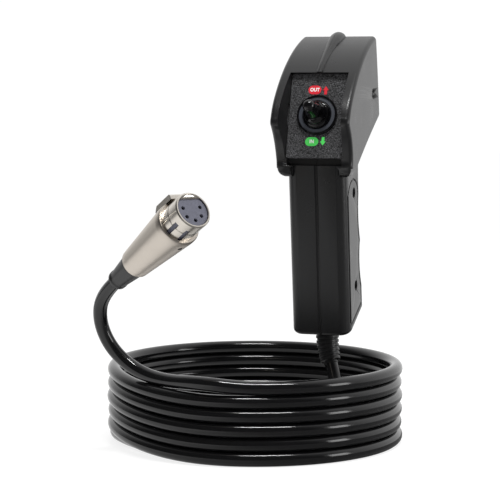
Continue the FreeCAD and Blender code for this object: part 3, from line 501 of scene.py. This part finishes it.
gripSleeve = {"Start": (0, 8.0 * mm, -39.2 * mm), "Middle": (0, 8.0 * mm, -47.2 * mm),
              "End": (2.73 * mm, 5.27 * mm, -54.5 * mm), "Bands": 7, "Band Width": 1.4 * mm,
              "Wide Radius": 5.75 * mm, "Narrow Radius": 4.8 * mm, "Groove Depth": 0.45 * mm,
              "Tail Radius": 3.45 * mm, "Tail": 0.86}


def sleeveTree():
    graph, given = nodeTree("bandedSleeve", {
        "Start": "Vector", "Middle": "Vector", "End": "Vector", "Bands": "Int", "Band Width": "Float",
        "Wide Radius": "Float", "Narrow Radius": "Float", "Groove Depth": "Float", "Tail Radius": "Float",
        "Tail": "Float"})
    wide, narrow = given["Wide Radius"], given["Narrow Radius"]
    groove, tail = given["Groove Depth"], given["Tail"]
    path = graph.add("GeometryNodeCurveQuadraticBezier", {
        "Resolution": 48, "Start": given["Start"], "Middle": given["Middle"], "End": given["End"]})
    # the core under the bands, and the plain tail past them
    share = graph.add("GeometryNodeSplineParameter")
    taper = graph.add("ShaderNodeMapRange", {0: share, 1: 0.0, 2: 1.0, 3: wide, 4: narrow})
    under = taper - groove
    radius = under + (given["Tail Radius"] - under) * graph.fade(share, tail, tail + 0.03)
    circle = graph.add("GeometryNodeCurvePrimitiveCircle", {"Resolution": 56, "Radius": 1.0})
    core = graph.add("GeometryNodeCurveToMesh",
                     {"Curve": path, "Profile Curve": circle, "Scale": radius, "Fill Caps": True})
    # one band: a rounded bar swept round a circle
    bar = graph.add("GeometryNodeCurvePrimitiveQuadrilateral",
                    {"Width": groove * 2.0, "Height": given["Band Width"]})
    corner = {"Curve": bar, "Radius": groove * 0.5, "Count": 4, "Limit Radius": True}
    soft = graph.add("GeometryNodeFilletCurve", corner, {"mode": "POLY"})
    hoop = graph.add("GeometryNodeCurvePrimitiveCircle", {"Resolution": 72, "Radius": wide - groove})
    band = graph.add("GeometryNodeCurveToMesh", {"Curve": hoop, "Profile Curve": soft})
    # bands stand on the first part of the path, smaller toward the cable
    short = graph.add("GeometryNodeTrimCurve", {"Curve": path, 2: 0.0, 3: tail})
    spread = {"Curve": short, "Count": given["Bands"]}
    places = graph.add("GeometryNodeCurveToPoints", spread, {"mode": "COUNT"})
    along = graph.add("GeometryNodeInputIndex") / (given["Bands"] - 1.0) * tail
    size = (wide + (narrow - wide) * along) / wide
    bands = graph.add("GeometryNodeInstanceOnPoints", {
        "Points": places, "Instance": band, "Rotation": graph.out(places, "Rotation"),
        "Scale": graph.vector(size, size, 1.0)})
    return finishTree(graph, [core, bands], finishes["rubber"])


# housing screws, one tree for all three

def screwShape():
    # pan head with a cross recess, axis along +X, its face at zero
    facts = {"radius": 2.42, "thick": 1.7, "edge": 0.35, "foot": 0.02, "footRise": 0.1, "arm": 1.35,
             "wide": 0.42, "deep": 0.9, "taper": 0.55, "steps": 40}
    shape = bmesh.new()
    radius, thick, edge = facts["radius"], facts["thick"], facts["edge"]
    outline = [(radius - facts["foot"], -thick), (radius, -thick + facts["footRise"]), (radius, -edge),
               (radius - edge, 0.0)]
    rings = [[shape.verts.new((x * mm, y, z)) for y, z in circlePoints(reach * mm, facts["steps"])]
             for reach, x in outline]
    for low, high in zip(rings, rings[1:]):
        bridge(shape, low, high)
    shape.faces.new(list(reversed(rings[0])))
    wide, arm, taper = facts["wide"], facts["arm"], facts["taper"]
    cross = [(wide, arm), (-wide, arm), (-wide, wide), (-arm, wide), (-arm, -wide), (-wide, -wide),
             (-wide, -arm), (wide, -arm), (wide, -wide), (arm, -wide), (arm, wide), (wide, wide)]
    top = [shape.verts.new((0, y * mm, z * mm)) for y, z in cross]
    low = [shape.verts.new((-facts["deep"] * mm, y * taper * mm, z * taper * mm)) for y, z in cross]
    bridge(shape, top, low)
    shape.faces.new(low)
    loops = (rings[-1], top)
    edges = [shape.edges.get((loop[k - 1], loop[k])) for loop in loops for k in range(len(loop))]
    bmesh.ops.triangle_fill(shape, use_beauty=True, edges=edges)
    return fromBmesh("screwShape", shape, finishes["screw"], 32)


def screwTree():
    graph, given = nodeTree("housingScrews", {
        "Screw": "Object", "Shank Radius": "Float", "Shank Length": "Float"})
    sunk = 1.0 * mm  # the shank's start behind the head's face
    places = graph.add("GeometryNodeMeshToPoints", [given["Geometry"]])
    head = graph.add("GeometryNodeObjectInfo", {"Object": given["Screw"]}, None, "Geometry")
    shank = graph.add("GeometryNodeMeshCylinder",
                      {"Vertices": 24, "Radius": given["Shank Radius"], "Depth": given["Shank Length"]})
    behind = graph.vector(given["Shank Length"] * -0.5 - sunk, 0.0, 0.0)
    placed = graph.add("GeometryNodeTransform",
                       {"Geometry": shank, "Translation": behind, "Rotation": (0.0, math.pi / 2, 0.0)})
    row = graph.add("GeometryNodeInstanceOnPoints", {"Points": places, "Instance": graph.join(head, placed)})
    # the screws carry the near-black painted shade of their holes
    return finishTree(graph, [row], finishes["screw"])


def makeScrews():
    places = {"head": (16.4, 20.8, 76.0), "gripTop": (12.9, 1.6, 29.0), "gripLow": (12.9, 6.7, -16.0)}
    seats = bpy.data.meshes.new("screwSeats")
    seats.from_pydata([tuple(value * mm for value in place) for place in places.values()], [], [])
    head = screwShape()
    values = {"Screw": head, "Shank Radius": 1.42 * mm, "Shank Length": 18.0 * mm}
    screws = growPiece("screws", screwTree(), values, seats)
    bpy.data.objects.remove(head)
    return screws


# the contact tubes in the plug's face, painted near black as painted shade in their holes

contacts = {"Contacts": 5, "Step": math.radians(54.0), "Circle": 4.6 * mm, "Outer Radius": 1.38 * mm,
            "Bore Radius": 0.9 * mm, "Length": 19.5 * mm}


def contactTree():
    graph, given = nodeTree("contactTubes", {
        "Contacts": "Int", "Step": "Float", "Circle": "Float", "Outer Radius": "Float",
        "Bore Radius": "Float", "Length": "Float"})
    row = graph.add("GeometryNodeMeshLine", {"Count": given["Contacts"], "Offset": (0.0, 0.0, 0.0)})
    middle = (given["Contacts"] - 1.0) * 0.5
    angle = (graph.add("GeometryNodeInputIndex") - middle) * given["Step"] - math.pi / 2
    spot = graph.vector(graph.maths("COSINE", angle) * given["Circle"],
                        graph.maths("SINE", angle) * given["Circle"], 0.0)
    ring = graph.add("GeometryNodeSetPosition", {"Geometry": row, "Position": spot})
    back = graph.vector(0.0, 0.0, given["Length"] * -1.0)
    line = graph.add("GeometryNodeCurvePrimitiveLine", {"Start": (0.0, 0.0, 0.0), "End": back})
    outside, inside = (
        graph.add("GeometryNodeCurvePrimitiveCircle", {"Resolution": 28, "Radius": given[key]})
        for key in ("Outer Radius", "Bore Radius"))
    wall = graph.add("GeometryNodeCurveToMesh", {"Curve": line, "Profile Curve": outside})
    bore = graph.add("GeometryNodeFlipFaces",
                     [graph.add("GeometryNodeCurveToMesh", {"Curve": line, "Profile Curve": inside})])
    face = graph.add("GeometryNodeFillCurve", [graph.join(outside, inside)], {"mode": "NGONS"})
    tail = graph.add("GeometryNodeTransform",
                     {"Geometry": graph.add("GeometryNodeFlipFaces", [face]), "Translation": back})
    tube = graph.add("GeometryNodeMergeByDistance",
                     {"Geometry": graph.join(wall, bore, face, tail), "Distance": 0.002 * mm})
    places = graph.add("GeometryNodeMeshToPoints", [ring])
    tubes = graph.add("GeometryNodeInstanceOnPoints", {"Points": places, "Instance": tube})
    return finishTree(graph, [tubes], finishes["dark"])


# switch: ring, rubber boot and the words on the plate

def makeRing():
    facts = {"bore": 6.95, "dish": 8.75, "outside": 9.72, "ridges": 2, "foot": 0.06, "low": 1.15,
             "high": 1.75, "step": 0.16, "sink": 0.1}
    bore, dish, low, foot = facts["bore"], facts["dish"], facts["low"], facts["foot"]
    profile = [(bore, foot), (bore, 0.95), (bore + 0.25, 1.3), (dish, 1.1)]
    wide = (facts["outside"] - dish) / facts["ridges"]
    for k in range(facts["ridges"]):
        top = facts["high"] - facts["step"] * k
        ridge = [(0.08, low), (0.24, top - 0.06), (0.4, top), (0.66, top), (0.82, top - 0.08),
                 (0.96, low - facts["sink"] * k)]
        profile += [(dish + wide * k + wide * share, height) for share, height in ridge]
    profile += [(facts["outside"], 0.7), (facts["outside"], foot)]
    piece = lathe("switchRing", profile, platePlace, finishes["ring"], 128, 34)
    piece.data.materials.append(finishes["rim"])  # the ridged rim is glossier than the dish inside it
    home = platePlace.inverted()
    for face in piece.data.polygons:
        place = home @ face.center
        face.material_index = int(math.hypot(place.x, place.y) > dish * mm)
    return piece


def makeBoot():
    ball = {"radius": 3.0, "centre": 16.0, "from": -38, "turn": 128, "steps": 12}
    radius, centre = ball["radius"], ball["centre"]
    section = [(6.9, 0.95), (6.85, 1.7), (6.55, 2.6), (5.95, 3.25), (5.45, 3.45), (5.25, 3.75),
               (5.45, 4.25), (5.6, 4.9), (5.35, 5.6), (4.7, 6.35), (4.05, 7.2), (3.55, 8.4), (3.15, 10.0),
               (2.8, 11.8), (2.5, 13.3), (2.45, 13.9)]
    profile = smoothRun(section, 5)
    for k in range(ball["steps"]):
        angle = math.radians(ball["from"] + ball["turn"] * k / ball["steps"])
        profile.append((radius * math.cos(angle), centre + radius * math.sin(angle)))
    profile.append((0.0, centre + radius))
    inside = [(0.0, 17.4), (1.98, 17.3), (1.98, 7.5), (3.6, 5.0), (4.6, 3.2), (6.1, 1.0)]
    return lathe("toggleBoot", profile + inside, platePlace, finishes["boot"], 96, 60)


def flatPiece(name, outline, ink):
    # a thin printed patch on the plate, from an outline in plate mm
    facts = {"top": 0.08, "low": 0.02}
    shape = bmesh.new()
    top, low = (
        [shape.verts.new(platePlace @ Vector((x * mm, y * mm, height * mm))) for x, y in outline]
        for height in (facts["top"], facts["low"]))
    shape.faces.new(top)
    shape.faces.new(list(reversed(low)))
    bridge(shape, low, top)
    return fromBmesh(name, shape, finishes[ink], 40)


def pillOutline(x, y, width, height):
    radius, steps = height / 2, 14
    outline = []
    for side in (1, -1):
        for k in range(steps + 1):
            angle = math.radians(-90 * side + 180 * k / steps)
            outline.append((x + side * (width / 2 - radius) + radius * math.cos(angle),
                            y + radius * math.sin(angle)))
    return outline


def arrowOutline(x, y, way):
    half, shaft, height, head = 1.35, 0.68, 4.1, 2.0
    corners = [(0, height / 2), (half, height / 2 - head), (shaft, height / 2 - head), (shaft, -height / 2),
               (-shaft, -height / 2), (-shaft, height / 2 - head), (-half, height / 2 - head)]
    return [(x + dx, y + way * dy) for dx, dy in corners]


def wordPiece(name, word, x, y):
    facts = {"size": 2.35, "bolder": 0.1, "thick": 0.02, "spacing": 1.1, "narrow": 0.86, "lift": 0.1}
    text = bpy.data.curves.new(name, "FONT")
    text.body = word
    text.size = facts["size"] * mm
    text.align_x = "CENTER"
    text.align_y = "CENTER"
    text.offset = facts["bolder"] * mm
    text.extrude = facts["thick"] * mm
    text.space_character = facts["spacing"]
    flat = addObject(name, text)
    mesh = bakedMesh(flat)
    bpy.data.objects.remove(flat)
    spot = Matrix.Translation((x * mm, y * mm, facts["lift"] * mm))
    mesh.transform(platePlace @ spot @ Matrix.Diagonal((facts["narrow"], 1, 1, 1)))
    return addObject(name, mesh, finishes["whiteInk"])


def makeWords():
    labels = [
        {"word": "OUT", "ink": "redInk", "pill": (-2.2, 12.5), "size": (6.3, 4.3),
         "arrow": (3.1, 12.3), "way": 1},
        {"word": "IN", "ink": "greenInk", "pill": (-1.75, -12.8), "size": (6.4, 4.3),
         "arrow": (3.65, -12.6), "way": -1},
    ]
    made = []
    for label in labels:
        word = label["word"].lower()
        made.append(flatPiece(word + "Pill", pillOutline(*label["pill"], *label["size"]), label["ink"]))
        made.append(flatPiece(word + "Arrow", arrowOutline(*label["arrow"], label["way"]), label["ink"]))
        made.append(wordPiece(word + "Word", label["word"], *label["pill"]))
    return made


# putting it together

cableLine = makeCable()
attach(cableLine, "handset")
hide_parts("handset_lead", "cable_coil", "plug_lead")
print("cable drawn")

gripBands = growPiece("reliefSleeve", sleeveTree(), gripSleeve)
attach(gripBands, "handset")
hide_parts("strain_relief")
print("sleeve grown")

screws = makeScrews()
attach(screws, "handset")
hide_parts("housing_screws")
tubes = growPiece("contactTubes", contactTree(), contacts)
tubes.data.transform(plugPlace @ Matrix.Translation((0, 0, plug["contactFace"] * mm)))
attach(tubes, "handset")
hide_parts("plug_contacts")
print("screws and contacts placed")

ring = makeRing()
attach(ring, "handset")
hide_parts("boot_ring")
boot = makeBoot()
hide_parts("boot_base", "boot_tip")
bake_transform(boot)
for word in makeWords():
    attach(word, "handset")
print("switch dressed")

skins = {
    "right_housing": ("handset", "housing"), "left_housing": ("handset", "housing"),
    "switch_plate": ("handset", "plate"), "plug_shell": ("handset", "nickel"),
    "plug_nose": ("handset", "brightNickel"), "contact_insert": ("handset", "insert"),
    "latch_lever": ("latch", "brightNickel"), "plug_boot": ("handset", "rubber"),
}
for node, (body, finish) in skins.items():
    skin(node, body, finish)

inside = {
    "steel": ["toggle_lever", "lever_pin", "switch_bushing", "bushing_nut", "lock_washer", "switch_frame",
              "plunger_spring", "cable_clamp", "latch_pin"],
    "brass": ["contact_rocker", "switch_terminals"],
    "phenolic": ["switch_case"],
    "nylon": ["plunger", "plug_chuck"],
    "rubber": ["cable_in_grip", "cable_in_plug"],
    "screw": ["clamp_screws", "set_screw"],
    "core": ["lead_wires", "plug_cores"],
    "brightNickel": ["latch_spring"],
}
for finish, nodes in inside.items():
    for node in nodes:
        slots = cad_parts[node].data.materials
        slots.clear()
        slots.append(finishes[finish])
print("finishes given to", len(skins) + sum(len(nodes) for nodes in inside.values()), "nodes")


# floor, lights and background

def rayKinds(graph):
    # seen by the camera or through glass, and mirrored
    path = graph.add("ShaderNodeLightPath")
    seen = graph.maths("MAXIMUM", path, graph.out(path, "Is Transmission Ray"))
    return seen, graph.out(path, "Is Glossy Ray")


def makeStage():
    facts = {"floor": -0.09062, "half": 4.0, "shadow": 0.3, "mirrored": 0.9, "dim": 0.12, "white": 1.15}
    shape = bmesh.new()
    half = facts["half"]
    corners = [(-half, -half), (half, -half), (half, half), (-half, half)]
    shape.faces.new([shape.verts.new((x, y, facts["floor"])) for x, y in corners])
    mesh = bpy.data.meshes.new("floor")
    shape.to_mesh(mesh)
    shape.free()
    material = bpy.data.materials.new("whiteFloor")
    material.use_nodes = True
    material.node_tree.nodes.clear()
    graph = Graph(material.node_tree)
    # white to the eye; in reflections a bright pool on the left and behind
    seen, glossy = rayKinds(graph)
    x = graph.add("ShaderNodeSeparateXYZ", [graph.add("ShaderNodeTexCoord", output="Object")])
    y = graph.out(x, "Y")
    left = graph.fade(x, 0.02, -0.1) * graph.fade(x, -0.6, -0.3) * graph.fade(y, -0.5, -0.25)
    back = graph.fade(y, -0.02, 0.35)
    pool = graph.maths("MAXIMUM", left, back) * (1.0 - facts["dim"]) + facts["dim"]
    strength = (1.0 - glossy) * facts["white"] + glossy * pool
    diffuse = graph.add("ShaderNodeBsdfDiffuse", {"Color": (0.92, 0.92, 0.92, 1)})
    glow = graph.add("ShaderNodeEmission", {"Color": (1, 1, 1, 1), "Strength": strength})
    share = seen * (1.0 - facts["shadow"]) + glossy * facts["mirrored"]
    mixed = graph.add("ShaderNodeMixShader", {0: share, 1: diffuse, 2: glow})
    graph.add("ShaderNodeOutputMaterial", [mixed])
    floor = addObject("floor", mesh, material)


def makeWorld():
    # plain light on the object and a white background; in reflections a sweep, brighter behind and above
    facts = {"light": 0.75, "background": 0.28, "dim": 0.06, "from": -0.25, "to": 0.8}
    world = bpy.data.worlds.new("studio")
    world.use_nodes = True
    bpy.context.scene.world = world
    world.node_tree.nodes.clear()
    graph = Graph(world.node_tree)
    seen, glossy = rayKinds(graph)
    x = graph.add("ShaderNodeSeparateXYZ", [graph.add("ShaderNodeTexCoord")])
    sweep = graph.out(x, "Y") + graph.out(x, "Z") * 0.3 + x * 0.12
    studioStrength = graph.fade(sweep, facts["from"], facts["to"], facts["dim"])
    plainStrength = facts["light"] + seen * facts["background"]
    plain, studio = (graph.add("ShaderNodeBackground", {"Color": (1, 1, 1, 1), "Strength": strength})
                     for strength in (plainStrength, studioStrength))
    mixed = graph.add("ShaderNodeMixShader", {0: glossy, 1: plain, 2: studio})
    graph.add("ShaderNodeOutputWorld", [mixed])


def addLight(name, place, aim, width, height, watts, turn=None):
    data = bpy.data.lights.new(name, "AREA")
    data.shape = "RECTANGLE"
    data.size = width
    data.size_y = height
    data.energy = watts
    lamp = addObject(name, data)
    lamp.location = place
    ahead = Vector(aim) - lamp.location
    facing = ahead.to_track_quat("-Z", "Y").to_matrix()
    if turn is not None:  # the long side is turned from the X axis by this angle
        down = ahead.normalized()
        across = Vector((math.cos(turn), math.sin(turn), 0)).cross(down).normalized()
        facing = Matrix((down.cross(across), across, -down)).transposed()
    lamp.rotation_euler = facing.to_euler()


makeStage()
makeWorld()
addLight("overhead", (0.13, -0.28, 0.9), (-0.03, -0.08, -0.07), 0.5, 0.05, 6.0, 0.4)
addLight("rightStrip", (0.8, -0.12, 0.1), (0.02, 0, 0.02), 0.25, 0.36, 1.4)
bpy.context.scene.view_settings.view_transform = "Standard"
print("stage and lights set")
